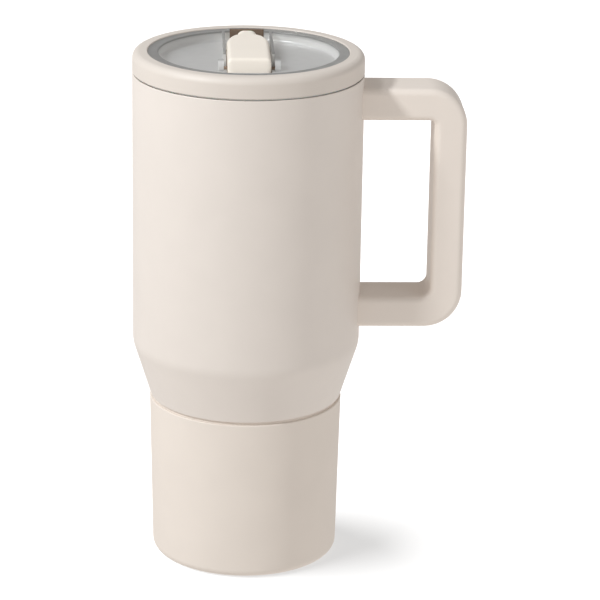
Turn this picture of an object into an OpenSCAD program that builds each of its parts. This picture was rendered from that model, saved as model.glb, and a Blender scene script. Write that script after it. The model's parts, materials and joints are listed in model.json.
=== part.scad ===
// Double-wall steel tumbler with a soft boot, a squared side handle and a screw-on lid
// with a flip-up spout. Millimetres. The underside rests at z = 0 on the body's axis,
// the handle points along +X and the spout lies along +Y.

/* [Body] */
// Radius of the straight upper body
body_r = 50; // [49:0.5:51]
// Height of the steel rim above the table
rim_z = 218.9; // [212:0.1:226]
// Height where the straight body ends and the taper begins
taper_z = 100.6; // [96:0.1:104]
// Radius of the rounded edge between straight body and taper
taper_edge_r = 15.4; // [10:0.2:20]
// Half angle of the taper, in degrees
taper_angle = 17.55; // [15:0.05:19]
// Height of the joint between shell and boot
boot_z = 73.5; // [70:0.5:76]
// Thickness of the outer steel wall
shell_t = 0.8; // [0.6:0.1:1]
// Thickness of the inner steel wall
liner_t = 0.6; // [0.5:0.1:0.8]
// Height of the cup's inside floor
floor_z = 12; // [10:0.5:16]

/* [Boot] */
// Radius of the boot at its top edge
boot_top_r = 42.5; // [42.2:0.1:43]
// Radius of the boot just above its bottom edge
boot_low_r = 41.1; // [40.6:0.1:42]
// Radius of the boot's bottom edge
boot_edge_r = 3.6; // [2:0.2:6]
// Height of the open groove between boot and shell
boot_gap = 1.4; // [0.8:0.1:1.6]

/* [Neck and thread] */
// Inside radius of the neck
neck_r = 47; // [46.8:0.1:47.2]
// Rise of the lid in one turn
pitch = 5; // [4.5:0.5:6]
// Length of each thread, in turns
thread_turns = 0.9; // [0.7:0.1:1]
// Height of a thread ridge above its wall
thread_h = 1.4; // [1:0.1:1.4]

/* [Handle] */
// Height of the handle's top face
handle_top = 214.4; // [210:0.1:217]
// Height of the handle's bottom face
handle_low = 106.8; // [102:0.1:112]
// Distance from the body's axis to the handle's outer face
handle_reach = 94.2; // [88:0.1:100]
// Width of the handle's section
handle_w = 24; // [20:1:28]
// Thickness of the handle's section
handle_t = 14.1; // [13.6:0.1:16]
// Radius of the handle's outer corners
handle_corner_r = 16.5; // [15.6:0.1:18]
// Radius of the section's edges
handle_edge_r = 2.6; // [2:0.2:6]

/* [Lid] */
// Height of the lid's cream ring above the table
lid_top = 228.5; // [228.2:0.1:229]
// Radius of the lid's outer top edge
lid_edge_r = 5.6; // [4:0.2:5.8]
// Radius of the opening in the lid's cream ring
lid_open_r = 43.4; // [43.2:0.1:44]
// Radius of the tray's recess
pan_r = 38.8; // [38:0.2:39.4]
// Depth of the recess below the tray's ledge
pan_depth = 4.6; // [4:0.1:4.9]

/* [Spout] */
// Width of the spout
spout_w = 18.6; // [18:0.1:19]
// Radius of the barrel that the spout turns on
barrel_r = 5.9; // [5.6:0.1:6]
// Distance from the lid's axis forward to the spout's pivot
pivot_y = -12.1; // [-13:0.1:-11]
// Height of the spout's pivot
pivot_z = 222.9; // [222.7:0.1:223.1]
// Distance from the lid's axis back to the end of the spout's rounded shoulders
spout_end = 31; // [30:0.2:31.4]
// Distance from the lid's axis back to the mouthpiece's tip
nozzle_end = 36.7; // [36:0.1:37]
// Outside radius of the straw
straw_r = 4; // [3.5:0.1:4.2]

/* [Hidden] */
$fn = 96;

cream = [0.89, 0.85, 0.79];
pale_cream = [0.93, 0.90, 0.85];
steel = [0.74, 0.74, 0.75];
clear = [0.80, 0.82, 0.83, 0.55];
white_silicone = [0.90, 0.90, 0.88];
core_grey = [0.45, 0.44, 0.43];
taupe = [0.60, 0.52, 0.45];

cut = 1;                                 // how far a cutting body runs past a face
seat_gap = 0.05;                         // gap between pieces that are seated in each other
neck_len = 12.7;                         // straight neck below the rim
shoulder_drop = 2.8;                     // height of the sealing shoulder below the neck
thread_z = 208.6;                        // start of the neck's thread
thread_drop = 1.8;                       // start of the lid's thread below that
cup_r = 44.4;                            // inside radius of the upper cup
cup_low_r = 37;                          // inside radius at the top of the lower cup
cup_floor_r = 36;                        // inside radius just above the cup's floor
cup_edge_r = 8;                          // inside edge radius at the cup's floor
cup_taper_edge_r = 12;                   // inside edge radius at the start of the taper
shell_low_top_r = boot_top_r - 1.9;      // shell radius under the boot's top edge
shell_low_r = boot_low_r - 1.9;          // shell radius under the boot's bottom edge
shell_floor_z = 2.4;                     // lowest point of the shell
shell_foot_r = 33.6;                     // inner edge of the shell's foot
shell_edge_r = 4;                        // edge radius of the shell's foot
boot_lip_r = 0.5;                        // edge radius of the boot's top lip
boot_rim_r = boot_top_r - 1.2;           // bottom of the groove, a rim on the boot
plate_z = 5;                             // underside of the recessed base plate
plug_hole_r = 1.2;                       // evacuation hole

skirt_r = neck_r - 1.8;                  // outside radius of the lid's skirt
skirt_foot = 206.3;                      // height of the skirt's sealing end
gasket_in = 47.3;                        // inner edge of the rim gasket
gasket_out = 49.1;                       // outer edge of the rim gasket
gasket_inset = 0.7;                      // how far it sits in the ring
lip_r = 0.5;                             // edge radius of the ring's inner edge
ledge_z = lid_top - lip_r;               // top of the tray's ledge
pan_z = ledge_z - pan_depth;             // top of the tray's floor
tray_t = 2.2;                            // thickness of the tray's floor and ledge
pan_edge_r = 0.5;                        // edge radius of the tray's ledge
pan_foot_r = 1.5;                        // fillet at the foot of the tray's wall
flange_r = 45.8;                         // edge of the tray, held in the ring
flange_z = ledge_z - 1;                  // top of that edge
flange_low = ledge_z - 2.5;              // underside of that edge
ring_low = rim_z + 0.75;                 // underside of the cream ring
seal_r = 44.2;                           // centre line of the skirt seal
seal_wire_r = 1;                         // radius of the skirt seal's section
seal_z = 205.15;                         // height of the skirt seal

spout_top = pivot_z + barrel_r;          // top face of the spout
spout_low = pivot_z - 1;                 // underside of the spout
spout_edge_r = 1.8;                      // edge radius of the spout
spout_lean = 17.5;                       // how far its front face leans back, in degrees
spout_crease_y = pivot_y - 4.0;          // where that face meets the top face
spout_crease_r = 2.0;                    // radius of the edge between them
spout_round_y = 12;                      // where its sides begin to round in
spout_round = 2.5;                       // power of that rounding
flow_r = 1.9;                            // radius of the drinking channel
flow_z = 225;                            // height of the drinking channel
port_angle = 215;                        // where the channel leaves the closed barrel
open_angle = 95;                         // how far the spout flips up
nozzle_half = spout_top - flow_z;        // half height of the mouthpiece
nozzle_w = 8.8;                          // width of the mouthpiece
nozzle_edge_r = 3;                       // edge radius of the mouthpiece
nozzle_stem_r = 2.9;                     // radius of its stem inside the spout
nozzle_stem_y = 20;                      // where the stem ends inside the spout
pin_r = 1.5;                             // radius of the pivot pins
pin_fit = 0.05;                          // radial play between spout and pins
pin_inner = 4.6;                         // inner end of each pin
pin_outer = 12.6;                        // outer end of each pin
ear_in = 10.9;                           // inner face of each pivot ear
ear_out = 13.3;                          // outer face of each pivot ear
ear_r = 4.5;                             // radius of each pivot ear
slot_front = -13.8;                        // open slots beside the barrel, front end
slot_back = -2.2;                        // and back end
wall_in = 9.8;                           // inner face of the channel walls
wall_out = 11;                           // outer face of the channel walls
pocket_r = 9.6;                          // half width of the spout's pocket
pocket_front = -19.4;                    // front end of the pocket
notch_r = 7.6;                           // half width of the finger notch
notch_wall_y = 41.6;                     // back wall of the finger notch
cradle_top = 221.2;                      // floor of the cradle under the spout
cradle_low = 218.6;                      // underside of the cradle
cradle_half = 12;                        // half width of the cradle under the tray
cradle_back = 37;                        // back end of the cradle under the tray
cradle_step = 29.2;                      // back end of its part inside the pocket
spigot_foot = 203;                       // foot of the sleeve that holds the straw
trough_play = 1.2;                       // room round the barrel for the spout's front edge
cradle_wall = 1;                         // wall of the barrel's trough
vent_x = 5.5;                            // air hole, beside the drinking channel
vent_y = 12;
vent_r = 1.8;
straw_y = -6;                            // axis of the straw
straw_wall = 0.8;
straw_top = 212;
straw_foot = 14.5;
port_r = 3.2;                            // outside radius of the port seal

core_w = 17;                             // section of the space inside the grip
core_t = 8;
core_gap = 0.05;                         // gap between the rigid core and the grip
core_edge_r = 2.5;
screw_x = 60;                            // screws, from the body's axis
screw_r = 1.5;
screw_head_r = 3;
screw_well_r = 3.3;
plug_h = 1.2;
upper_arm_z = handle_top - handle_t / 2;
lower_arm_z = handle_low + handle_t / 2;

// Points of a round stretch of an outline, about (x, y), from angle a to angle b
function arc(x, y, r, a, b, n = 12) =
    [for (i = [0:n]) [x + r * cos(a + (b - a) * i / n), y + r * sin(a + (b - a) * i / n)]];

// Where the taper has radius r or height z, for an edge arc about (edge_x, taper_z)
function taper_r(edge_x, edge_r, z) = edge_x + edge_r * cos(taper_angle)
    - (taper_z - edge_r * sin(taper_angle) - z) * tan(taper_angle);
function taper_h(edge_x, edge_r, r) = taper_z - edge_r * sin(taper_angle)
    - (edge_x + edge_r * cos(taper_angle) - r) / tan(taper_angle);

module turned(points) {
    rotate_extrude() polygon(points);
}

// A rectangle with round corners, centred, made of true arcs
module round_rect(w, h, r) {
    square([w - 2 * r, h], center = true);
    square([w, h - 2 * r], center = true);
    for (x = [-1, 1], y = [-1, 1]) translate([x * (w / 2 - r), y * (h / 2 - r)]) circle(r);
}

// A bar along +X whose section lies in Y and Z
module bar(len, w, h, r) {
    rotate([90, 0, 90]) linear_extrude(len) round_rect(w, h, r);
}

// A helical ridge with faded ends: wall is the radius it grows from, crest its tip
module thread_ridge(wall, crest, z0) {
    steps = floor(40 * thread_turns);
    fade = 5;
    half_root = 0.95;
    half_crest = 0.4;
    function reach(i) = wall + (crest - wall) * min(1, (i + 1) / fade, (steps - i + 1) / fade);
    function at(i, r, dz) = let (a = 360 * thread_turns * i / steps)
        [r * cos(a), r * sin(a), z0 + pitch * thread_turns * i / steps + dz];
    points = [for (i = [0:steps], k = [[wall, -half_root], [reach(i), -half_crest],
        [reach(i), half_crest], [wall, half_root]]) at(i, k[0], k[1])];
    side = [for (i = [0:steps - 1], k = [0:3]) let (a = 4 * i + k, b = 4 * i + (k + 1) % 4)
        each [[a, a + 4, b], [b, a + 4, b + 4]]];
    ends = [[0, 1, 2], [0, 2, 3],
        [4 * steps, 4 * steps + 2, 4 * steps + 1], [4 * steps, 4 * steps + 3, 4 * steps + 2]];
    outward = crest > wall;
    faces = concat(side, ends);
    polyhedron(points, outward ? [for (f = faces) [f[2], f[1], f[0]]] : faces);
}

// ---- cup ----

module shell_outline(t) {
    // outline of the outer wall, moved inwards by t
    edge_x = body_r - taper_edge_r;
    edge_r = taper_edge_r - t;
    low_x = shell_low_r - shell_edge_r;
    step = boot_z + 0.2;
    polygon(concat(
        [[0, shell_floor_z + t], [low_x, shell_floor_z + t]],
        arc(low_x, shell_floor_z + shell_edge_r, shell_edge_r - t, -90, 0),
        [[shell_low_top_r - t, step + t]],
        [[taper_r(edge_x, edge_r, step + t), step + t]],
        arc(edge_x, taper_z, edge_r, -taper_angle, 0),
        [[body_r - t, rim_z + (t > 0 ? cut : 0)], [0, rim_z + (t > 0 ? cut : 0)]]));
}

module outer_shell() {
    color(cream) rotate_extrude() difference() {
        shell_outline(0);
        shell_outline(shell_t);
        square([shell_foot_r, 2 * plate_z]);
    }
}

module liner_outline(t) {
    // outline of the cup's inside, moved outwards by t
    neck_foot = rim_z - neck_len;
    edge_x = cup_r - cup_taper_edge_r;
    edge_r = cup_taper_edge_r + t;
    low_x = cup_floor_r - cup_edge_r;
    polygon(concat(
        [[0, floor_z - t], [low_x, floor_z - t]],
        arc(low_x, floor_z + cup_edge_r, cup_edge_r + t, -90, 0),
        [[cup_low_r + t, taper_h(edge_x, edge_r, cup_low_r + t)]],
        arc(edge_x, taper_z, edge_r, -taper_angle, 0),
        [[cup_r + t, neck_foot - shoulder_drop], [neck_r + t, neck_foot],
            [neck_r + t, rim_z + (t > 0 ? 0 : cut)], [0, rim_z + (t > 0 ? 0 : cut)]]));
}

module inner_liner() {
    color(steel) {
        rotate_extrude() difference() {
            union() {
                liner_outline(liner_t);
                translate([neck_r, rim_z - shell_t])
                    square([body_r - shell_t - neck_r, shell_t]);
            }
            liner_outline(0);
        }
        thread_ridge(neck_r + liner_t / 2, neck_r - thread_h, thread_z);
    }
}

module base_plate() {
    t = shell_t;
    color(steel) turned([[plug_hole_r, plate_z], [30, plate_z], [32, shell_floor_z],
        [shell_foot_r, shell_floor_z], [shell_foot_r, shell_floor_z + t],
        [32.6, shell_floor_z + t], [30.6, plate_z + t], [plug_hole_r, plate_z + t]]);
}

module vacuum_plug() {
    color("dimgray") {
        translate([0, 0, plate_z]) cylinder(h = shell_t, r = plug_hole_r);
        translate([0, 0, plate_z - 0.6]) cylinder(h = 0.6, r = 2.2);
    }
}

module getter_cup() {
    top = floor_z - liner_t;
    color(steel) turned([[0, top - 3.2], [4.9, top - 3.2], [4.9, top - 0.5], [6.5, top - 0.5],
        [6.5, top], [4.4, top], [4.4, top - 2.7], [0, top - 2.7]]);
}

module getter() {
    color("gray") translate([0, 0, floor_z - liner_t - 2.7]) cylinder(h = 2.2, r = 4.3);
}

module base_boot() {
    step = boot_z + 0.2;
    top = step - boot_gap;
    low_x = boot_low_r - boot_edge_r;
    inner_x = shell_low_r - shell_edge_r;
    color(cream) rotate_extrude() difference() {
        polygon(concat([[0, 0], [low_x, 0]], arc(low_x, boot_edge_r, boot_edge_r, -90, 0),
            arc(boot_top_r - boot_lip_r, top - boot_lip_r, boot_lip_r, 0, 90, 6),
            [[boot_rim_r, top], [boot_rim_r, step - seat_gap], [0, step - seat_gap]]));
        polygon(concat([[0, shell_floor_z - seat_gap], [inner_x, shell_floor_z - seat_gap]],
            arc(inner_x, shell_floor_z + shell_edge_r, shell_edge_r + seat_gap, -90, 0),
            [[shell_low_top_r + seat_gap, step], [0, step]]));
        for (r = [12, 20, 28]) translate([r, -cut]) square([1, cut + 0.5]);
    }
}

// ---- handle ----

// A closed bar of w by t that runs out along the upper arm, down the grip and back
module handle_loop(w, t, r) {
    inset = (handle_t - t) / 2;
    turn_r = handle_corner_r - inset;
    corner_x = handle_reach - handle_corner_r;
    corner_hi = handle_top - handle_corner_r;
    corner_lo = handle_low + handle_corner_r;
    mid_r = handle_corner_r - handle_t / 2;
    difference() {
        union() {
            for (z = [upper_arm_z, lower_arm_z])
                translate([body_r - 8, 0, z]) bar(corner_x - body_r + 8, w, t, r);
            translate([corner_x + mid_r, 0, corner_lo])
                linear_extrude(corner_hi - corner_lo) rotate(90) round_rect(w, t, r);
            translate([corner_x, 0, corner_hi]) rotate([90, 0, 0])
                rotate_extrude(angle = 90) translate([turn_r - t / 2, 0])
                    rotate(90) round_rect(w, t, r);
            translate([corner_x, 0, corner_lo]) rotate([90, 0, 0])
                rotate_extrude(angle = -90) translate([turn_r - t / 2, 0])
                    rotate(90) round_rect(w, t, r);
        }
        translate([0, 0, handle_low - handle_t])
            cylinder(h = handle_top - handle_low + 2 * handle_t, r = body_r);
    }
}

module at_arms() {
    for (z = [upper_arm_z, lower_arm_z]) translate([screw_x, 0, z]) children();
}

module handle_grip() {
    color(cream) difference() {
        handle_loop(handle_w, handle_t, handle_edge_r);
        handle_loop(core_w, core_t, core_edge_r);
        at_arms() translate([0, 0, -handle_t / 2 - cut])
            cylinder(h = handle_t / 2 + cut, r = screw_well_r);
    }
}

module bracket(z) {
    plate_t = 1.2;
    color(steel) translate([0, 0, z]) difference() {
        union() {
            intersection() {
                difference() {
                    cylinder(h = 7, r = body_r + plate_t, center = true);
                    cylinder(h = 7 + cut, r = body_r, center = true);
                }
                translate([body_r, 0, 0]) cube([10, 15, 10], center = true);
            }
            translate([body_r + 0.6, -5, -1.2]) cube([screw_x + 6 - body_r - 0.6, 10, 2.4]);
        }
        translate([screw_x, 0, 0]) cylinder(h = 5, r = screw_r + 0.1, center = true);
    }
}

module upper_bracket() {
    bracket(upper_arm_z);
}

module lower_bracket() {
    bracket(lower_arm_z);
}

module handle_frame() {
    color(core_grey) difference() {
        handle_loop(core_w - 2 * core_gap, core_t - 2 * core_gap, core_edge_r - core_gap);
        for (z = [upper_arm_z, lower_arm_z]) translate([0, 0, z]) {
            cylinder(h = core_t + cut, r = body_r + 1.3, center = true);
            translate([body_r, -5.1, -1.25]) cube([screw_x + 6.5 - body_r, 10.2, 2.5]);
        }
        at_arms() {
            translate([0, 0, -core_t / 2 - cut]) cylinder(h = core_t + cut - 1, r = screw_r);
            translate([0, 0, -core_t / 2 - cut]) cylinder(h = cut + 0.6, r = screw_well_r);
        }
    }
}

module handle_screws() {
    head_z = -core_t / 2 + 0.6;
    color(steel) at_arms() {
        translate([0, 0, head_z]) cylinder(h = core_t - 2, r = screw_r);
        difference() {
            translate([0, 0, head_z - 2]) cylinder(h = 2, r = screw_head_r);
            translate([0, 0, head_z - 2 - cut]) cylinder(h = 1.2 + cut, r = 1.4, $fn = 6);
        }
    }
}

module screw_plugs() {
    color(cream) at_arms() translate([0, 0, -handle_t / 2 + 0.1])
        cylinder(h = plug_h, r = screw_well_r);
}

// ---- lid ----

module rim_gasket() {
    top = ring_low + gasket_inset;
    color(white_silicone) turned([[gasket_in, rim_z + seat_gap], [gasket_out, rim_z + seat_gap],
        [gasket_out, top], [gasket_in, top]]);
}

module skirt_seal() {
    color(white_silicone) rotate_extrude() translate([seal_r, seal_z]) circle(seal_wire_r);
}

module lid_collar() {
    color(cream) rotate_extrude() difference() {
        polygon(concat(
            [[skirt_r + 0.1, ring_low], [body_r - 0.3, ring_low], [body_r, ring_low + 0.3]],
            arc(body_r - lid_edge_r, lid_top - lid_edge_r, lid_edge_r, 0, 90),
            arc(lid_open_r + lip_r, lid_top - lip_r, lip_r, 90, 180, 8),
            [[lid_open_r, flange_z], [flange_r + 0.1, flange_z],
                [flange_r + 0.1, flange_low], [skirt_r + 0.1, flange_low]]));
        translate([gasket_in - 0.3, ring_low - cut])
            square([gasket_out - gasket_in + 0.6, cut + gasket_inset + 0.1]);
    }
}

module tray_outline() {
    foot = skirt_foot - 3.4;
    polygon(concat(
        [[0, pan_z - tray_t], [pan_r + 1.8, pan_z - tray_t], [pan_r + 1.8, ledge_z - tray_t],
            [43, ledge_z - tray_t], [43, 212], [42.2, 210], [42.2, foot], [43.8, foot],
            [43.8, foot + 0.7], [43.1, foot + 0.7], [43.1, skirt_foot], [skirt_r, skirt_foot],
            [skirt_r, flange_low], [flange_r, flange_low], [flange_r, flange_z - seat_gap],
            [lid_open_r - seat_gap, flange_z - seat_gap], [lid_open_r - seat_gap, ledge_z]],
        arc(pan_r + pan_edge_r, ledge_z - pan_edge_r, pan_edge_r, 90, 180, 8),
        arc(pan_r - pan_foot_r, pan_z + pan_foot_r, pan_foot_r, 0, -90, 8), [[0, pan_z]]));
}

module both_sides() {
    children();
    mirror([1, 0, 0]) children();
}

module lid_tray() {
    wall_back = 37.6;
    color(clear) {
        difference() {
            union() {
                rotate_extrude() tray_outline();
                both_sides() {
                    translate([wall_in, slot_back, pan_z - tray_t])
                        cube([wall_out - wall_in, wall_back - slot_back, ledge_z - pan_z + tray_t]);
                    translate([ear_in, pivot_y, pivot_z]) rotate([0, 90, 0])
                        cylinder(h = ear_out - ear_in, r = ear_r);
                    translate([ear_in, pivot_y - ear_r, pan_z - tray_t])
                        cube([ear_out - ear_in, 2 * ear_r, pivot_z - pan_z + tray_t]);
                }
            }
            translate([-pocket_r, pocket_front, pan_z - tray_t - cut])
                cube([2 * pocket_r, spout_end - pocket_front, 10]);
            translate([-ear_in, slot_front, pan_z - tray_t - cut])
                cube([2 * ear_in, slot_back - slot_front, 10]);
            intersection() {
                translate([-notch_r, spout_end - cut, pan_z - tray_t - cut])
                    cube([2 * notch_r, 20, 10]);
                translate([0, 0, pan_z - tray_t - cut]) cylinder(h = 10, r = 43);
            }
            translate([-pin_outer - 0.1, pivot_y, pivot_z]) rotate([0, 90, 0])
                cylinder(h = 2 * pin_outer + 0.2, r = pin_r);
        }
        thread_ridge(skirt_r - 0.3, skirt_r + thread_h, thread_z - thread_drop);
    }
}

// A bar through the barrel's centre, along an angle in the plane of Y and Z
module through_barrel(angle, len, r) {
    translate([0, pivot_y, pivot_z]) rotate([angle, 0, 0]) rotate([-90, 0, 0])
        cylinder(h = len, r = r);
}

module spout_cradle() {
    trough_r = barrel_r + trough_play;
    color(taupe) difference() {
        union() {
            translate([-cradle_half, pocket_front - 1, cradle_low]) cube([2 * cradle_half,
                cradle_back - pocket_front + 1, pan_z - tray_t - seat_gap - cradle_low]);
            translate([-pocket_r + seat_gap, pocket_front + seat_gap, cradle_low])
                cube([2 * (pocket_r - seat_gap), cradle_step - pocket_front,
                    cradle_top - cradle_low]);
            translate([0, straw_y, spigot_foot])
                cylinder(h = cradle_low - spigot_foot + 1, r = straw_r + 1.6);
            translate([-pocket_r + seat_gap, pivot_y, pivot_z]) rotate([0, 90, 0])
                cylinder(h = 2 * (pocket_r - seat_gap), r = trough_r + cradle_wall);
            intersection() {
                translate([-notch_r + 0.1, cradle_back - 1, cradle_low])
                    cube([2 * notch_r - 0.2, 8, ledge_z - 0.2 - cradle_low]);
                translate([0, 0, cradle_low]) cylinder(h = 10, r = 42.95);
            }
        }
        translate([-notch_r + cut, spout_end - 5, cradle_low + 1])
            cube([2 * (notch_r - cut), notch_wall_y - spout_end + 5, 10]);
        translate([-notch_r, cradle_back - 2, cradle_top])
            cube([2 * notch_r, notch_wall_y - cradle_back + 2, 10]);
        translate([-cradle_half - cut, pivot_y, pivot_z]) rotate([0, 90, 0])
            cylinder(h = 2 * (cradle_half + cut), r = trough_r);
        translate([-cradle_half - cut, pocket_front - 2, cradle_top])
            cube([2 * (cradle_half + cut), 30, 10]);
        through_barrel(port_angle + open_angle, 9, port_r);
        through_barrel(port_angle + open_angle, 12, flow_r);
        translate([0, straw_y, spigot_foot - cut])
            cylinder(h = straw_top - spigot_foot + cut, r = straw_r);
        translate([0, straw_y, straw_top - cut]) cylinder(h = 5, r = straw_r - 1);
        translate([vent_x, vent_y, cradle_low - cut]) cylinder(h = 6, r = vent_r);
    }
}

module port_seal() {
    color(white_silicone) difference() {
        through_barrel(port_angle + open_angle, 9, port_r);
        through_barrel(port_angle + open_angle, 12, flow_r);
        translate([-10, pivot_y, pivot_z]) rotate([0, 90, 0])
            cylinder(h = 20, r = barrel_r + pin_fit);
    }
}

module pivot_pins() {
    color(taupe) both_sides() translate([pin_inner, pivot_y, pivot_z]) rotate([0, 90, 0])
        cylinder(h = pin_outer - pin_inner, r = pin_r);
}

module straw() {
    color(clear) translate([0, straw_y, straw_foot]) difference() {
        cylinder(h = straw_top - straw_foot, r = straw_r);
        translate([0, 0, -cut])
            cylinder(h = straw_top - straw_foot + 2 * cut, r = straw_r - straw_wall);
    }
}

// ---- spout ----

module spout_plan() {
    half = spout_w / 2;
    front = pivot_y - barrel_r - cut;
    span = spout_end - spout_round_y;
    steps = 24;
    polygon(concat([[-half, front], [half, front]], [for (i = [0:steps]) let (a = 180 * i / steps)
        [half * sign(cos(a)) * pow(abs(cos(a)), 2 / spout_round),
            spout_round_y + span * pow(sin(a), 2 / spout_round)]]));
}

module spout_side() {
    // Y to the right, Z up
    run = (spout_top - pivot_z) * tan(spout_lean);
    crease_cut = spout_crease_r * tan((90 - spout_lean) / 2);
    difference() {
        translate([pivot_y, pivot_z]) circle(barrel_r);
        polygon([[spout_crease_y, spout_top], [spout_crease_y - 2 * run, 2 * pivot_z - spout_top],
            [spout_crease_y - 2 * run - barrel_r, 2 * pivot_z - spout_top],
            [spout_crease_y - barrel_r, spout_top]]);
    }
    polygon(concat([[pivot_y, pivot_z], [pivot_y, spout_top]],
        arc(spout_crease_y + crease_cut, spout_top - spout_crease_r, spout_crease_r,
            90, 180 - spout_lean, 8),
        [[spout_crease_y - run, pivot_z]]));
    translate([pivot_y, spout_low]) square([spout_end - pivot_y, spout_top - 1.5 - spout_low]);
    translate([pivot_y, spout_low])
        square([spout_end - 1.5 - pivot_y, spout_top - spout_low]);
    translate([spout_end - 1.5, spout_top - 1.5]) circle(1.5);
}

module spout() {
    low = pivot_z - barrel_r;
    color(pale_cream) difference() {
        intersection() {
            translate([-spout_w / 2, 0, 0]) rotate([90, 0, 90])
                linear_extrude(spout_w) spout_side();
            translate([0, 0, low - cut]) linear_extrude(20) spout_plan();
            translate([0, 40, (low + spout_top) / 2]) rotate([90, 0, 0])
                linear_extrude(70) round_rect(spout_w, spout_top - low, spout_edge_r);
        }
        translate([0, pivot_y, flow_z]) rotate([-90, 0, 0])
            cylinder(h = spout_end - pivot_y + cut, r = flow_r);
        translate([0, nozzle_stem_y, flow_z]) rotate([-90, 0, 0])
            cylinder(h = spout_end - nozzle_stem_y + cut, r = nozzle_stem_r);
        through_barrel(port_angle, barrel_r + cut, flow_r);
        both_sides() translate([pin_inner - 0.2, pivot_y, pivot_z]) rotate([0, 90, 0])
            cylinder(h = spout_w, r = pin_r + pin_fit);
        translate([vent_x, vent_y, spout_low - cut]) cylinder(h = 2.1 + cut, r = 1.2);
    }
}

module spout_nozzle() {
    color(pale_cream) difference() {
        translate([0, 0, flow_z]) rotate([-90, 0, 0]) {
            translate([0, 0, nozzle_stem_y]) cylinder(h = spout_end - nozzle_stem_y,
                r = nozzle_stem_r - seat_gap);
            translate([0, 0, spout_end]) linear_extrude(nozzle_end - spout_end)
                round_rect(nozzle_w, 2 * nozzle_half, nozzle_edge_r);
        }
        translate([0, nozzle_stem_y - cut, flow_z]) rotate([-90, 0, 0])
            cylinder(h = 30, r = flow_r);
    }
}

module vent_plug() {
    color(white_silicone) translate([vent_x, vent_y, spout_low]) {
        cylinder(h = 2.1, r = 1.2);
        translate([0, 0, -0.6]) cylinder(h = 0.6, r = 1.3);
        translate([0, 0, -2]) cylinder(h = 1.4, r1 = 0.8, r2 = 1.3);
    }
}

outer_shell();
inner_liner();
base_plate();
vacuum_plug();
getter_cup();
getter();
base_boot();
upper_bracket();
lower_bracket();
handle_frame();
handle_grip();
handle_screws();
screw_plugs();
rim_gasket();
skirt_seal();
lid_collar();
lid_tray();
spout_cradle();
pivot_pins();
port_seal();
straw();
spout();
spout_nozzle();
vent_plug();
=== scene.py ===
"""Looks of the insulated tumbler: materials, finely shaped outer pieces, studio light and camera.

Everything is in metres, in the part's own frame: z = 0 is the table, the handle points along +X
and the spout lies along +Y. Outlines of pieces are written in millimetres in the same frame, and
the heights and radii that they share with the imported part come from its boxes.
"""

import json
import math

import bmesh
import bpy
from mathutils import Matrix, Vector


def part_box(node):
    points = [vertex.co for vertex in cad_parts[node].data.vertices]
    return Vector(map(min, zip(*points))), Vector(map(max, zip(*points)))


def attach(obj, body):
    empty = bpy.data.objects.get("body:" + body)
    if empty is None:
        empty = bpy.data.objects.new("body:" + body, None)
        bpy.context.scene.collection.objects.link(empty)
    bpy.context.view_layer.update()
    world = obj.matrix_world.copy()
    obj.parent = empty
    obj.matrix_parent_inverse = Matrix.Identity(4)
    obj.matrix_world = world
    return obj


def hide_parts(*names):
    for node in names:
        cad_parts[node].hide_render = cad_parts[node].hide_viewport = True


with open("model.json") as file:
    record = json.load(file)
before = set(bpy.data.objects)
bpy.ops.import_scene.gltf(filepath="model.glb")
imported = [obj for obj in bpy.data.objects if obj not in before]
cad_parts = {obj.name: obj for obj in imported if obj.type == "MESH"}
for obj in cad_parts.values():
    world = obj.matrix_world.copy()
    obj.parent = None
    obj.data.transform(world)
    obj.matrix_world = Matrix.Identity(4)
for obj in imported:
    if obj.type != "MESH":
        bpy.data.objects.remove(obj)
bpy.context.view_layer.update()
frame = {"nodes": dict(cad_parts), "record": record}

MM = 0.001


def edge(node, side, axis):
    """One coordinate of a node's box in millimetres; side is 0 for low and 1 for high."""
    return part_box(node)[side]["xyz".index(axis)] / MM


BODY_R = edge("outer_shell", 1, "x")
RIM_Z = edge("outer_shell", 1, "z")
BOOT_TOP_R = edge("base_boot", 1, "x")
BOOT_STEP_Z = edge("base_boot", 1, "z")
LID_TOP = edge("lid_collar", 1, "z")
RING_LOW = edge("lid_collar", 0, "z")
HANDLE_OUT = edge("handle_grip", 1, "x")
HANDLE_TOP = edge("handle_grip", 1, "z")
HANDLE_LOW = edge("handle_grip", 0, "z")
HANDLE_HALF = edge("handle_grip", 1, "y")
SPOUT_TOP = edge("spout", 1, "z")
SPOUT_HALF = edge("spout", 1, "x")
NOZZLE_END = edge("spout_nozzle", 1, "y")

# ---- colours, linear ----

CREAM = (0.762, 0.693, 0.632)
BOOT_CREAM = (0.785, 0.705, 0.630)
HANDLE_CREAM = (0.815, 0.732, 0.658)
LID_CREAM = (0.700, 0.632, 0.568)
PALE_CREAM = (0.92, 0.840, 0.740)
# Cream cradle plastic painted dark taupe: painted shade for its deep pocket and slots.
CRADLE_PAINTED_SHADE = (0.22, 0.155, 0.11)
STEEL = (0.66, 0.65, 0.64)
DARK_PLASTIC = (0.10, 0.10, 0.10)
# The tray's clear plastic: a floor tone, walls painted lighter as painted light, and a ledge
# painted darker as painted shade.
CLEAR_FLOOR = (0.69, 0.68, 0.665)
CLEAR_WALL_PAINTED_LIGHT = (0.87, 0.86, 0.84)
CLEAR_LEDGE_PAINTED_SHADE = (0.337, 0.33, 0.32)
WHITE_SILICONE = (0.78, 0.76, 0.72)
LAMP_WHITE = (0.925, 0.965, 1.0)
ROOM_WHITE = (1.0, 0.977, 0.957)


# ---- materials ----

NOISE_LOW, NOISE_HIGH = 0.3, 0.7         # most values of a noise texture lie between these


def new_material(name, **sockets):
    """A material with one Principled shader; sockets are set by name, with _ for a space."""
    mat = bpy.data.materials.new(name)
    mat.use_nodes = True
    shader = mat.node_tree.nodes["Principled BSDF"]
    for key, value in sockets.items():
        socket = shader.inputs[key.replace("_", " ")]
        socket.default_value = (*value, 1) if isinstance(value, tuple) else value
    return mat, shader


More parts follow.
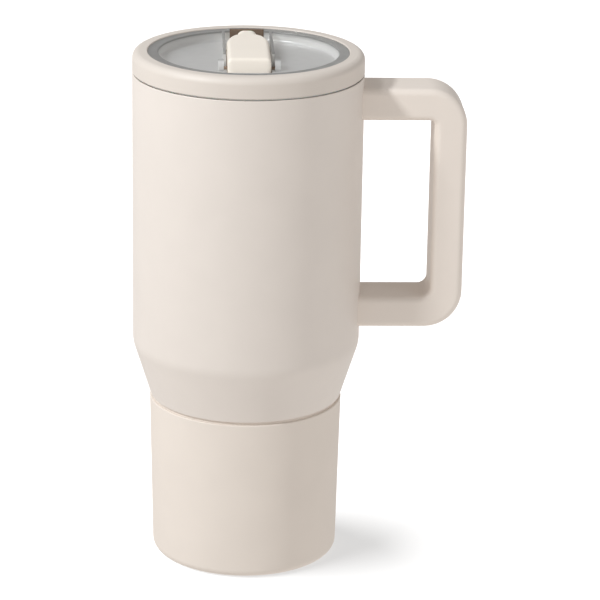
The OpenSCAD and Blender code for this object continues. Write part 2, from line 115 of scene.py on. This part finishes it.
def noise(mat, scale, detail=2.0, stretch=(1, 1, 1)):
    """A noise texture over the piece's own coordinates; scale is features per metre."""
    nodes, links = mat.node_tree.nodes, mat.node_tree.links
    coords = nodes.new("ShaderNodeTexCoord")
    mapping = nodes.new("ShaderNodeMapping")
    mapping.inputs["Scale"].default_value = stretch
    texture = nodes.new("ShaderNodeTexNoise")
    texture.inputs["Scale"].default_value = scale
    texture.inputs["Detail"].default_value = detail
    links.new(coords.outputs["Object"], mapping.inputs["Vector"])
    links.new(mapping.outputs["Vector"], texture.inputs["Vector"])
    return texture.outputs["Fac"]


def vary_colour(mat, shader, colour, amount, scale, detail=3.0):
    """Lets the colour drift a little lighter and darker over the surface."""
    nodes, links = mat.node_tree.nodes, mat.node_tree.links
    ramp = nodes.new("ShaderNodeValToRGB")
    ramp.color_ramp.elements[0].position = NOISE_LOW
    ramp.color_ramp.elements[1].position = NOISE_HIGH
    ramp.color_ramp.elements[0].color = (*[c * (1 - amount) for c in colour], 1)
    ramp.color_ramp.elements[1].color = (*[min(1, c * (1 + amount)) for c in colour], 1)
    links.new(noise(mat, scale, detail), ramp.inputs["Fac"])
    links.new(ramp.outputs["Color"], shader.inputs["Base Color"])


def vary_roughness(mat, shader, low, high, scale, stretch=(1, 1, 1)):
    """Lets the gloss change between two roughnesses over the surface."""
    nodes, links = mat.node_tree.nodes, mat.node_tree.links
    spread = nodes.new("ShaderNodeMapRange")
    spread.inputs["From Min"].default_value = NOISE_LOW
    spread.inputs["From Max"].default_value = NOISE_HIGH
    spread.inputs["To Min"].default_value = low
    spread.inputs["To Max"].default_value = high
    links.new(noise(mat, scale, 3.0, stretch), spread.inputs["Value"])
    links.new(spread.outputs["Result"], shader.inputs["Roughness"])


def add_bump(mat, shader, *layers):
    """Layers of fine relief, each (features per metre, height in metres)."""
    nodes, links = mat.node_tree.nodes, mat.node_tree.links
    below = None
    for scale, height in layers:
        bump = nodes.new("ShaderNodeBump")
        bump.inputs["Distance"].default_value = height
        links.new(noise(mat, scale, 2.0), bump.inputs["Height"])
        if below is not None:
            links.new(below, bump.inputs["Normal"])
        below = bump.outputs["Normal"]
    links.new(below, shader.inputs["Normal"])


def powder_coat():
    """Satin powder coat: a faint orange peel with a fine grain in it."""
    mat, shader = new_material("powder_coat", IOR=1.5)
    vary_colour(mat, shader, CREAM, 0.012, 60)
    vary_roughness(mat, shader, 0.46, 0.56, 400)
    add_bump(mat, shader, (900, 0.000012), (4000, 0.000004))
    return mat


def boot_rubber():
    """Matte silicone rubber, a touch warmer than the coat above it."""
    mat, shader = new_material("boot_rubber", IOR=1.43)
    vary_colour(mat, shader, BOOT_CREAM, 0.015, 45)
    vary_roughness(mat, shader, 0.62, 0.74, 700)
    add_bump(mat, shader, (2500, 0.000008))
    return mat


def moulded(name, colour, roughness, grain):
    """Moulded plastic with a faint texture from the mould."""
    mat, shader = new_material(name, IOR=1.49)
    vary_colour(mat, shader, colour, 0.01, 70)
    vary_roughness(mat, shader, roughness - 0.04, roughness + 0.05, 500)
    add_bump(mat, shader, (700, grain * 2), (3000, grain))
    return mat


def silicone(name, colour):
    """Soft silicone that lets a little light in."""
    mat, shader = new_material(name, IOR=1.42, Subsurface_Weight=0.15, Subsurface_Scale=0.002)
    vary_colour(mat, shader, colour, 0.01, 90)
    vary_roughness(mat, shader, 0.48, 0.6, 600)
    add_bump(mat, shader, (2200, 0.000005))
    return mat


def steel():
    """Stainless steel, turned: fine lines run round the cup."""
    mat, shader = new_material("steel", Metallic=1.0, Roughness=0.3)
    vary_colour(mat, shader, STEEL, 0.04, 35)
    vary_roughness(mat, shader, 0.24, 0.36, 300, (1, 1, 12))
    nodes, links = mat.node_tree.nodes, mat.node_tree.links
    bump = nodes.new("ShaderNodeBump")
    bump.inputs["Distance"].default_value = 0.000006
    links.new(noise(mat, 60, 3.0, (0.3, 0.3, 60)), bump.inputs["Height"])
    links.new(bump.outputs["Normal"], shader.inputs["Normal"])
    return mat


def clear_plastic():
    """Translucent copolyester, milky, with painted shade that greys the tray's ledge and painted
    light that brightens its walls.
    """
    floor_depth, ledge_depth = 5.5, 0.5
    floor_ends, lit_wall_starts, lit_wall_ends, shaded_ledge_starts = 0.12, 0.3, 0.8, 0.92
    mat, shader = new_material("clear_plastic", IOR=1.5, Transmission_Weight=0.5)
    vary_roughness(mat, shader, 0.28, 0.36, 200)
    nodes, links = mat.node_tree.nodes, mat.node_tree.links
    coords = nodes.new("ShaderNodeTexCoord")
    split = nodes.new("ShaderNodeSeparateXYZ")
    height = nodes.new("ShaderNodeMapRange")
    height.inputs["From Min"].default_value = (LID_TOP - floor_depth) * MM
    height.inputs["From Max"].default_value = (LID_TOP - ledge_depth) * MM
    # Colour by height: painted light on the walls, painted shade on the ledge.
    painted_light_and_shade = nodes.new("ShaderNodeValToRGB")
    ramp = painted_light_and_shade.color_ramp
    ramp.elements[0].position, ramp.elements[1].position = floor_ends, shaded_ledge_starts
    ramp.elements[0].color = (*CLEAR_FLOOR, 1)
    ramp.elements[1].color = (*CLEAR_LEDGE_PAINTED_SHADE, 1)
    for spot in (lit_wall_starts, lit_wall_ends):
        ramp.elements.new(spot).color = (*CLEAR_WALL_PAINTED_LIGHT, 1)
    links.new(coords.outputs["Object"], split.inputs["Vector"])
    links.new(split.outputs["Z"], height.inputs["Value"])
    links.new(height.outputs["Result"], painted_light_and_shade.inputs["Fac"])
    links.new(painted_light_and_shade.outputs["Color"], shader.inputs["Base Color"])
    path = nodes.new("ShaderNodeLightPath")
    open_way = nodes.new("ShaderNodeBsdfTransparent")
    open_way.inputs["Color"].default_value = (*CLEAR_FLOOR, 1)
    mix = nodes.new("ShaderNodeMixShader")
    links.new(path.outputs["Is Shadow Ray"], mix.inputs["Fac"])
    links.new(shader.outputs["BSDF"], mix.inputs[1])
    links.new(open_way.outputs["BSDF"], mix.inputs[2])
    links.new(mix.outputs["Shader"], nodes["Material Output"].inputs["Surface"])
    return mat


SLOTS = {
    "powder_coat": powder_coat(),
    "steel": steel(),
    "plug_metal": moulded("plug_metal", (0.25, 0.25, 0.26), 0.4, 0.000004),
    "boot_rubber": boot_rubber(),
    "handle_plastic": moulded("handle_plastic", HANDLE_CREAM, 0.46, 0.000005),
    "core_plastic": moulded("core_plastic", DARK_PLASTIC, 0.5, 0.000006),
    "lid_plastic": moulded("lid_plastic", LID_CREAM, 0.5, 0.000004),
    # The cradle's dark taupe is painted shade that stands in for its shadowed pocket and slots.
    "cradle_plastic": moulded("cradle_plastic", CRADLE_PAINTED_SHADE, 0.55, 0.000005),
    "spout_plastic": moulded("spout_plastic", PALE_CREAM, 0.42, 0.000003),
    "nozzle_silicone": silicone("nozzle_silicone", PALE_CREAM),
    "silicone": silicone("silicone", WHITE_SILICONE),
    "clear_plastic": clear_plastic(),
}


def finish_cad_nodes():
    """Gives every carried-over node its slot's material."""
    for part in frame["record"]["subparts"]:
        node = frame["nodes"][part["node"]]
        node.data.materials.clear()
        node.data.materials.append(SLOTS[part["material_slot"]])


# ---- mesh tools; outlines are in millimetres ----

ARC_STEP = math.radians(9)               # turn per facet of a rounded corner
MOST_OF_SIDE = 0.49                      # share of a side that a corner's arc may take up
TUBE_SEGMENTS = 64                       # facets round tubes and cutters
CUT_PAST = 1                             # how far a cutter runs past what it cuts
ALONG_X = Matrix.Rotation(math.pi / 2, 4, "Y")
ALONG_Y = Matrix.Rotation(-math.pi / 2, 4, "X")
ALONG_Z = Matrix()


def rounded(corners):
    """A closed outline from (x, y, corner radius), its corners turned into arcs."""
    outline = []
    count = len(corners)
    for i, (x, y, radius) in enumerate(corners):
        here = Vector((x, y))
        before = Vector(corners[i - 1][:2]) - here
        after = Vector(corners[(i + 1) % count][:2]) - here
        if radius <= 0:
            outline.append((x, y))
            continue
        half = before.angle(after) / 2
        longest = MOST_OF_SIDE * min(before.length, after.length)
        reach = min(radius / math.tan(half), longest)
        radius = reach * math.tan(half)
        middle = (before.normalized() + after.normalized()).normalized()
        centre = here + middle * (radius / math.sin(half))
        first = here + before.normalized() * reach - centre
        last = here + after.normalized() * reach - centre
        start = math.atan2(first.y, first.x)
        sweep = (math.atan2(last.y, last.x) - start + math.pi) % (2 * math.pi) - math.pi
        steps = max(3, math.ceil(abs(sweep) / ARC_STEP))
        outline += [(centre.x + radius * math.cos(start + sweep * k / steps),
                     centre.y + radius * math.sin(start + sweep * k / steps))
                    for k in range(steps + 1)]
    return outline


def tidy_mesh(mesh, sharp=40):
    """Joins doubled points, turns every face outwards and shades by angle."""
    work = bmesh.new()
    work.from_mesh(mesh)
    bmesh.ops.remove_doubles(work, verts=work.verts, dist=0.000001)
    bmesh.ops.recalc_face_normals(work, faces=work.faces)
    work.to_mesh(mesh)
    work.free()
    mesh.shade_smooth()
    mesh.set_sharp_from_angle(angle=math.radians(sharp))


def new_piece(name, mesh, body, material, *nodes):
    """Puts a mesh in the scene as a piece that stands for CAD nodes and rides on their body."""
    tidy_mesh(mesh)
    piece = bpy.data.objects.new(name, mesh)
    bpy.context.scene.collection.objects.link(piece)
    piece.data.materials.append(SLOTS[material])
    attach(piece, body)
    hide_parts(*nodes)
    return piece


def even_shading(piece):
    """Shades by the larger faces, so flat stretches stay flat beside small rounded edges."""
    weighted = piece.modifiers.new("even_shading", "WEIGHTED_NORMAL")
    weighted.weight = 100
    weighted.keep_sharp = True


def revolved(name, outline, segments=256):
    """The mesh of a closed outline of (radius, height), turned round the Z axis."""
    mesh = bpy.data.meshes.new(name)
    verts, faces, rings = [], [], []
    for radius, height in outline:
        if radius < 0.001:
            rings.append([len(verts)] * segments)
            verts.append((0, 0, height * MM))
            continue
        rings.append(list(range(len(verts), len(verts) + segments)))
        for k in range(segments):
            a = 2 * math.pi * k / segments
            verts.append((radius * math.cos(a) * MM, radius * math.sin(a) * MM, height * MM))
    for i, ring in enumerate(rings):
        above = rings[(i + 1) % len(rings)]
        for k in range(segments):
            n = (k + 1) % segments
            face = list(dict.fromkeys((ring[k], ring[n], above[n], above[k])))
            if len(face) > 2:
                faces.append(face)
    mesh.from_pydata(verts, [], faces)
    return mesh


def lofted(name, sections):
    """The closed mesh through sections of equal length, each symmetric about its middle."""
    mesh = bpy.data.meshes.new(name)
    count = len(sections[0])
    verts = [tuple(c * MM for c in p) for section in sections for p in section]
    faces = []
    for s in range(len(sections) - 1):
        for k in range(count):
            n = (k + 1) % count
            faces.append((s * count + k, s * count + n, (s + 1) * count + n, (s + 1) * count + k))
    for base in (0, (len(sections) - 1) * count):
        for k in range(count // 2 - 1):
            faces.append((base + k, base + k + 1, base + count - 2 - k, base + count - 1 - k))
    mesh.from_pydata(verts, [], faces)
    return mesh


def round_section(half_width, low, high, radius, per_corner=9, per_side=6):
    """Points (across, up) round a rectangle with round corners: over the top, back below."""
    middle, half_height = (low + high) / 2, (high - low) / 2
    radius = min(radius, half_width - 0.02, half_height - 0.01)
    flat, side = half_width - radius, half_height - radius
    quarter = [(flat + radius * math.cos(a), side + radius * math.sin(a))
               for a in (math.pi / 2 * k / per_corner for k in range(per_corner + 1))]
    top = [(half_width, side * f) for f in (0.1, 0.55)] + quarter
    top += [(flat * (1 - 2 * k / per_side), half_height) for k in range(1, per_side)]
    top += [(-x, y) for x, y in reversed(quarter)] + [(-half_width, side * f) for f in (0.55, 0.1)]
    return [(x, middle + y) for x, y in top] + [(x, middle - y) for x, y in reversed(top)]


def rod(radius, start, end, turn, at=(0, 0, 0)):
    """A cutter: a round rod from start to end along Z, then turned and moved."""
    mesh = revolved("rod", [(0, start), (radius, start), (radius, end), (0, end)],
                    TUBE_SEGMENTS)
    mesh.transform(Matrix.Translation(Vector(at) * MM) @ turn)
    tidy_mesh(mesh)
    tool = bpy.data.objects.new("rod", mesh)
    bpy.context.scene.collection.objects.link(tool)
    return tool


def cut_away(piece, *tools):
    """Cuts rods out of a piece's mesh for good."""
    for tool in tools:
        step = piece.modifiers.new("cut", "BOOLEAN")
        step.operation = "DIFFERENCE"
        step.solver = "EXACT"
        step.object = tool
    graph = bpy.context.evaluated_depsgraph_get()
    finished = bpy.data.meshes.new_from_object(piece.evaluated_get(graph))
    piece.modifiers.clear()
    piece.data = finished
    tidy_mesh(finished)
    for tool in tools:
        bpy.data.objects.remove(tool)



# ---- cup ----

def make_cup_wall():
    """The coated outer wall: rounded rim, straight body, soft edge into the taper, step."""
    wall, rim_edge_r, bend_steps = 0.8, 0.38, 14
    taper_z, taper_edge_r, taper_angle = 100.6, 15.4, math.radians(17.55)
    low_top_r, low_r, low_edge_r, foot_r, foot_z = BOOT_TOP_R - 1.9, 39.2, 4.0, 33.6, 2.4
    edge_x = BODY_R - taper_edge_r
    tangent_r = edge_x + taper_edge_r * math.cos(taper_angle)
    tangent_z = taper_z - taper_edge_r * math.sin(taper_angle)
    step_z = BOOT_STEP_Z + 0.05

    def side(offset):
        """From the rim down to the end of the soft edge."""
        arc = taper_edge_r - offset
        bends = [-taper_angle * k / bend_steps for k in range(bend_steps + 1)]
        return [(BODY_R - offset, RIM_Z, rim_edge_r)] + [
            (edge_x + arc * math.cos(a), taper_z + arc * math.sin(a), 0) for a in bends]

    def taper_r(z, offset):
        return tangent_r - (tangent_z - z) * math.tan(taper_angle) - offset

    outer = side(0) + [(taper_r(step_z, 0), step_z, 0.3), (low_top_r, step_z, 0.2),
                       (low_r, foot_z, low_edge_r), (foot_r, foot_z, 0)]
    inner = [(foot_r, foot_z + wall, 0), (low_r - wall, foot_z + wall, low_edge_r - wall),
             (low_top_r - wall, step_z + wall, 0.3),
             (taper_r(step_z + wall, wall), step_z + wall, 0.3)]
    outline = rounded(outer + inner + list(reversed(side(wall))))
    piece = new_piece("cup_wall", revolved("cup_wall", outline), "cup", "powder_coat",
                      "outer_shell")
    even_shading(piece)


def make_boot():
    """The soft boot: rolled lip, open groove under the cup's step, three rings underneath."""
    lip_z, rim_r, low_r, low_edge_r = BOOT_STEP_Z - 1.35, BOOT_TOP_R - 1.2, 41.1, 3.6
    inner_top_r, inner_low_r, inner_edge_r, inner_z = BOOT_TOP_R - 1.85, 39.25, 4.05, 2.35
    ring_depth, ring_width, ring_radii = 0.5, 1.0, (12, 20, 28)
    corners = [(0, 0, 0)]
    for r in ring_radii:
        corners += [(r, 0, 0.2), (r, ring_depth, 0.2), (r + ring_width, ring_depth, 0.2),
                    (r + ring_width, 0, 0.2)]
    corners += [(low_r, 0, low_edge_r), (BOOT_TOP_R, lip_z, 0.5), (rim_r, lip_z, 0.3),
                (rim_r - 0.1, BOOT_STEP_Z, 0.25), (inner_top_r, BOOT_STEP_Z, 0.2),
                (inner_low_r, inner_z, inner_edge_r), (0, inner_z, 0)]
    piece = new_piece("boot", revolved("boot", rounded(corners)), "cup", "boot_rubber",
                      "base_boot")
    even_shading(piece)


def handle_stations(thickness, outer_r, upper_r, lower_r):
    """Pairs of outer and inner points (x, z) down the handle, from the upper end to the lower."""
    arm_steps, bend_steps, grip_steps = 12, 20, 16
    in_x, in_top, in_low = HANDLE_OUT - thickness, HANDLE_TOP - thickness, HANDLE_LOW + thickness
    reach = HANDLE_OUT - outer_r - BODY_R
    arm = [BODY_R + reach * k / arm_steps for k in range(arm_steps)]

    def bend(x, z, radius, angle):
        return x - radius + radius * math.cos(angle), z + radius * math.sin(angle)

    def grip(high, low, k):
        return high + (low - high) * k / grip_steps

    pairs = [((x, HANDLE_TOP), (x, in_top)) for x in arm]
    for k in range(bend_steps + 1):
        a = math.pi / 2 * (1 - k / bend_steps)
        pairs.append((bend(HANDLE_OUT, HANDLE_TOP - outer_r, outer_r, a),
                      bend(in_x, in_top - upper_r, upper_r, a)))
    for k in range(1, grip_steps):
        pairs.append(((HANDLE_OUT, grip(HANDLE_TOP - outer_r, HANDLE_LOW + outer_r, k)),
                      (in_x, grip(in_top - upper_r, in_low + lower_r, k))))
    for k in range(bend_steps + 1):
        a = -math.pi / 2 * k / bend_steps
        pairs.append((bend(HANDLE_OUT, HANDLE_LOW + outer_r, outer_r, a),
                      bend(in_x, in_low + lower_r, lower_r, a)))
    return pairs + [((x, HANDLE_LOW), (x, in_low)) for x in reversed(arm)]


def make_grip():
    """The squared handle: one soft-edged bar with a wide outer bend and tight inner corners."""
    thickness, outer_r, upper_r, lower_r, edge_r = 14.1, 16.5, 2.2, 4.2, 2.9
    sections = []
    pairs = handle_stations(thickness, outer_r, upper_r, lower_r)
    for i, (outer, inner) in enumerate(pairs):
        outer, inner = Vector(outer), Vector(inner)
        length = (outer - inner).length
        meets_body = i in (0, len(pairs) - 1)
        ring = []
        for across, along in round_section(HANDLE_HALF, 0, length, edge_r, 10, 8):
            spot = inner + (outer - inner) * (along / length)
            x = math.sqrt(BODY_R ** 2 - across ** 2) if meets_body else spot.x
            ring.append((x, across, spot.y))
        sections.append(ring)
    piece = new_piece("grip", lofted("grip", sections), "cup", "handle_plastic", "handle_grip")
    screw_x, well_r, well_depth, arm = 60, 3.4, 1.75, thickness / 2
    cut_away(piece, *[rod(well_r, -arm - CUT_PAST, well_depth - arm, ALONG_Z, (screw_x, 0, z))
                      for z in (HANDLE_TOP - arm, HANDLE_LOW + arm)])
    even_shading(piece)


# ---- lid ----

def make_collar():
    """The lid's cream ring: generous outer edge, fine lip round the tray, gasket groove."""
    lip_r, open_r, flange_r, skirt_r = 0.5, 43.4, 45.9, 45.3
    flange_z, flange_low = LID_TOP - lip_r - 1, LID_TOP - lip_r - 2.5
    groove_in, groove_out, groove_z = 47.0, 49.4, RING_LOW + 0.8
    corners = [(skirt_r, RING_LOW, 0.15), (groove_in, RING_LOW, 0.1), (groove_in, groove_z, 0.1),
               (groove_out, groove_z, 0.1), (groove_out, RING_LOW, 0.1),
               (BODY_R, RING_LOW, 0.35), (BODY_R, LID_TOP, 5.6), (open_r, LID_TOP, lip_r),
               (open_r, flange_z, 0), (flange_r, flange_z, 0), (flange_r, flange_low, 0),
               (skirt_r, flange_low, 0)]
    piece = new_piece("collar", revolved("collar", rounded(corners)), "lid", "lid_plastic",
                      "lid_collar")
    even_shading(piece)


def make_seals():
    """The soft rings: a rim gasket with two fine ribs and a round skirt seal."""
    low, high = edge("rim_gasket", 0, "z"), edge("rim_gasket", 1, "z")
    inside, outside = 47.3, edge("rim_gasket", 1, "x")
    middle = (inside + outside) / 2
    corners = [(inside, low, 0.15), (middle - 0.25, low, 0.1), (middle - 0.15, low + 0.2, 0.1),
               (middle + 0.15, low + 0.2, 0.1), (middle + 0.25, low, 0.1), (outside, low, 0.15),
               (outside, high, 0.25), (inside, high, 0.25)]
    even_shading(new_piece("rim_ring", revolved("rim_ring", rounded(corners)), "gasket",
                           "silicone", "rim_gasket"))
    wire_r = (edge("skirt_seal", 1, "z") - edge("skirt_seal", 0, "z")) / 2
    centre_r = edge("skirt_seal", 1, "x") - wire_r
    centre_z = edge("skirt_seal", 0, "z") + wire_r
    points = 28
    turns = [2 * math.pi * k / points for k in range(points)]
    outline = [(centre_r + wire_r * math.cos(a), centre_z + wire_r * math.sin(a)) for a in turns]
    new_piece("skirt_ring", revolved("skirt_ring", outline), "seal", "silicone", "skirt_seal")


def make_straw():
    """A clear tube with fire-polished ends."""
    centre_y, outer_r, wall = -6.0, edge("straw", 1, "x"), 0.8
    low, high = edge("straw", 0, "z"), edge("straw", 1, "z")
    corners = [(outer_r - wall, low, 0.35), (outer_r, low, 0.35), (outer_r, high, 0.35),
               (outer_r - wall, high, 0.35)]
    mesh = revolved("tube", rounded(corners), TUBE_SEGMENTS)
    mesh.transform(Matrix.Translation((0, centre_y * MM, 0)))
    new_piece("tube", mesh, "lid", "clear_plastic", "straw")


# ---- spout; it lies along +Y, its barrel on the pins at the pivot ----

PIVOT_Y, PIVOT_Z, BARREL_R = -12.1, 222.9, 5.9
CREASE_Y, CREASE_R, LEAN = PIVOT_Y - 4.0, 2.0, math.radians(17.5)
FLOW_Z, FLOW_R = 225.0, 1.9
NECK_Y, NOZZLE_HALF_W, NOZZLE_EDGE_R = 32.6, 4.4, 3.1


def blend_max(a, b, soft):
    """The larger of two lengths, with a smooth change from one to the other."""
    h = max(0.0, min(1.0, 0.5 + (a - b) / (2 * soft)))
    return b + (a - b) * h + soft * h * (1 - h)


def spout_section(y):
    """Half width, lowest and highest point and edge radius of the spout at y."""
    underside, edge_r, nozzle_half_h, thinnest = PIVOT_Z - 1, 2.0, SPOUT_TOP - FLOW_Z, 0.03
    round_start, round_end, power = 14.0, 30.9, 2.35
    merge_start, merge, run_in = 18.5, 1.4, 26.0
    half, low, high = SPOUT_HALF, underside, SPOUT_TOP
    ahead = y - (PIVOT_Y - BARREL_R)
    if y < PIVOT_Y + BARREL_R:
        low = PIVOT_Z - math.sqrt(max(0, BARREL_R ** 2 - (y - PIVOT_Y) ** 2))
        low = min(low, underside) if y > PIVOT_Y else low
    bend_end = CREASE_Y + CREASE_R * math.tan((math.pi / 2 - LEAN) / 2)
    if y < bend_end:
        slope = SPOUT_TOP - (CREASE_Y - y) / math.tan(LEAN)
        bend = math.sqrt(max(0, CREASE_R ** 2 - (bend_end - y) ** 2))
        on_slope = y < bend_end - CREASE_R * math.cos(LEAN)
        high = max(slope if on_slope else SPOUT_TOP - CREASE_R + bend, low + thinnest)
    if ahead < edge_r:
        half -= edge_r - math.sqrt(max(0, edge_r ** 2 - (edge_r - ahead) ** 2))
    shrink = max(0.0, min(1.0, (y - round_start) / (round_end - round_start)))
    if shrink > 0:
        half *= (1 - shrink ** power) ** (1 / power)
    if y > merge_start:
        half = blend_max(half, NOZZLE_HALF_W, merge)
    t = max(0.0, min(1.0, (y - run_in) / (NECK_Y - run_in)))
    t = t * t * (3 - 2 * t)
    low += (FLOW_Z - nozzle_half_h - low) * t
    edge_r += (NOZZLE_EDGE_R - edge_r) * t
    return half, low, high, edge_r


def make_spout():
    """The flip-up spout: barrel, flat bar and rounded shoulders that run into the mouthpiece."""
    front = PIVOT_Y - BARREL_R
    turns = [math.radians(a) for a in range(4, 90, 4)]
    stations = [front + BARREL_R * (1 - math.cos(a)) for a in turns]
    stations += [PIVOT_Y + BARREL_R * math.sin(a) for a in turns if math.sin(a) < 0.99]
    stations += [PIVOT_Y, PIVOT_Y + BARREL_R]
    stations += [-5 + 1.5 * k for k in range(11)] + [12 + 0.5 * k for k in range(41)] + [NECK_Y]
    sections = []
    for y in sorted(set(round(y, 4) for y in stations)):
        half, low, high, edge_r = spout_section(y)
        sections.append([(x, y, z) for x, z in round_section(half, low, high, edge_r)])
    piece = new_piece("flip_spout", lofted("flip_spout", sections), "spout", "spout_plastic",
                      "spout")
    port = Matrix.Rotation(math.radians(215), 4, "X") @ ALONG_Y
    pivot = (0, PIVOT_Y, PIVOT_Z)
    pin_bore_r, pin_inner, pin_outer = 1.55, 4.4, SPOUT_HALF + CUT_PAST
    cut_away(piece,
             rod(FLOW_R, PIVOT_Y + 1, NECK_Y + CUT_PAST, ALONG_Y, (0, 0, FLOW_Z)),
             rod(FLOW_R, 0, BARREL_R + CUT_PAST, port, pivot),
             rod(pin_bore_r, pin_inner, pin_outer, ALONG_X, pivot),
             rod(pin_bore_r, -pin_outer, -pin_inner, ALONG_X, pivot))
    even_shading(piece)


def make_mouthpiece():
    """The soft mouthpiece: a rounded nozzle with a full tip and a round bore through it."""
    half_h, tip_r, tip_steps, edge_share = SPOUT_TOP - FLOW_Z, 1.6, 8, 0.6
    turns = [math.pi / 2 * k / tip_steps for k in range(tip_steps + 1)]
    stations = [(NECK_Y, 0)] + [(NOZZLE_END - tip_r + tip_r * math.sin(a),
                                 tip_r * (1 - math.cos(a))) for a in turns]
    rings = []
    for y, side in stations:
        rings.append([(x, y, z) for x, z in round_section(
            NOZZLE_HALF_W - side, FLOW_Z - half_h + side, FLOW_Z + half_h - side,
            NOZZLE_EDGE_R - side * edge_share)])
    piece = new_piece("mouthpiece", lofted("mouthpiece", rings), "spout", "nozzle_silicone",
                      "spout_nozzle")
    cut_away(piece, rod(FLOW_R, NECK_Y - CUT_PAST, NOZZLE_END + CUT_PAST, ALONG_Y,
                        (0, 0, FLOW_Z)))
    even_shading(piece)


# ---- stage ----

def towards(azimuth, elevation):
    """A direction: azimuth 0 is the camera's side and 90 the handle's, in degrees."""
    a, e = math.radians(azimuth), math.radians(elevation)
    return Vector((math.sin(a) * math.cos(e), -math.cos(a) * math.cos(e), math.sin(e)))


def place_light(name, data, away, spot, only, shade=None):
    """Puts a lamp at a spot, shining against away, on some objects only."""
    light = bpy.data.objects.new(name, data)
    light.location = spot
    light.rotation_mode = "QUATERNION"
    light.rotation_quaternion = away.to_track_quat("Z", "Y")
    bpy.context.scene.collection.objects.link(light)
    light.light_linking.receiver_collection = only
    if shade is not None:
        light.light_linking.blocker_collection = shade


def soft_box(name, azimuth, elevation, size, power, only):
    """A round soft box that faces the middle of the tumbler."""
    distance, middle = 1.5, Vector((0, 0, 0.13))
    data = bpy.data.lights.new(name, "AREA")
    data.color = LAMP_WHITE
    data.shape = "DISK"
    data.size = size
    data.energy = power
    away = towards(azimuth, elevation)
    place_light(name, data, away, middle + away * distance, only)


def collection_of(name, *objects):
    """A group that lights can be linked to."""
    group = bpy.data.collections.new(name)
    for obj in objects:
        group.objects.link(obj)
    return group


def make_floor():
    """A white floor for the camera; the studio's own even light fills from below instead."""
    size, glow, below_table = 20.0, 0.56, 0.0001
    mesh = bpy.data.meshes.new("floor")
    grid = bmesh.new()
    bmesh.ops.create_grid(grid, x_segments=1, y_segments=1, size=size)
    grid.to_mesh(mesh)
    grid.free()
    floor = bpy.data.objects.new("floor", mesh)
    floor.location.z = -below_table
    floor.visible_diffuse = False
    floor.visible_glossy = False
    bpy.context.scene.collection.objects.link(floor)
    mat, shader = new_material("floor", Base_Color=(0.3, 0.3, 0.3), Roughness=0.9,
                               Emission_Color=(1.0, 1.0, 1.0), Emission_Strength=glow)
    shader.inputs["Specular IOR Level"].default_value = 0
    mesh.materials.append(mat)
    return floor


def make_studio_light(above, below):
    """Even light from all sides, its strength above and below the table."""
    blend = 0.15
    world = bpy.data.worlds.new("studio")
    world.use_nodes = True
    nodes, links = world.node_tree.nodes, world.node_tree.links
    coords = nodes.new("ShaderNodeTexCoord")
    split = nodes.new("ShaderNodeSeparateXYZ")
    strength = nodes.new("ShaderNodeMapRange")
    strength.inputs["From Min"].default_value = -blend
    strength.inputs["From Max"].default_value = blend
    strength.inputs["To Min"].default_value = below
    strength.inputs["To Max"].default_value = above
    links.new(coords.outputs["Generated"], split.inputs["Vector"])
    links.new(split.outputs["Z"], strength.inputs["Value"])
    links.new(strength.outputs["Result"], nodes["Background"].inputs["Strength"])
    nodes["Background"].inputs["Color"].default_value = (*ROOM_WHITE, 1)
    bpy.context.scene.world = world


def make_stage():
    """Three soft boxes for the tumbler, and one broad lamp for the floor and the boot's shadow."""
    bpy.context.scene.view_settings.view_transform = "Standard"
    make_studio_light(above=0.42, below=0.91)
    floor = make_floor()
    parts = [o for o in bpy.data.objects if o.type == "MESH" and o is not floor]
    on_object = collection_of("on_object", *parts)
    # azimuth, elevation, width in metres, power in watts
    soft_box("key", -58, 41, 0.16, 14.1, on_object)
    soft_box("top_left", -85, 60, 0.25, 3.6, on_object)
    soft_box("fill", 55, 20, 0.8, 2.5, on_object)
    sun = bpy.data.lights.new("floor_light", "SUN")
    sun.angle = math.radians(71)
    sun.energy = 12.3
    away = towards(-93, 40)
    place_light("floor_light", sun, away, away, collection_of("on_floor", floor),
                collection_of("shades_floor", bpy.data.objects["boot"]))


def make_camera():
    """A long lens, a little above the lid, turned a touch off the spout's line."""
    distance, height = 1.19116, 0.29740
    pitch, yaw, roll = 0.3247, 0.0199, 0.0163
    turn = math.radians(1.4)
    seam = 0.2194
    ahead = Vector((math.sin(yaw) * math.cos(pitch), math.cos(yaw) * math.cos(pitch),
                    -math.sin(pitch)))
    right = Vector((math.cos(yaw), -math.sin(yaw), 0))
    up = right.cross(ahead)
    tilted_right = right * math.cos(roll) + up * math.sin(roll)
    tilted_up = up * math.cos(roll) - right * math.sin(roll)
    axes = Matrix((tilted_right, tilted_up, -ahead)).transposed().to_4x4()
    data = bpy.data.cameras.new("camera")
    data.sensor_width = 36.0
    data.lens = 170.86
    camera = bpy.data.objects.new("camera", data)
    spin = Matrix.Rotation(-turn, 4, "Z")
    camera.matrix_world = spin @ Matrix.Translation((0, -distance, height + seam)) @ axes
    bpy.context.scene.collection.objects.link(camera)
    bpy.context.scene.camera = camera


finish_cad_nodes()
make_cup_wall()
make_boot()
make_grip()
make_collar()
make_seals()
make_straw()
make_spout()
make_mouthpiece()
make_stage()
make_camera()
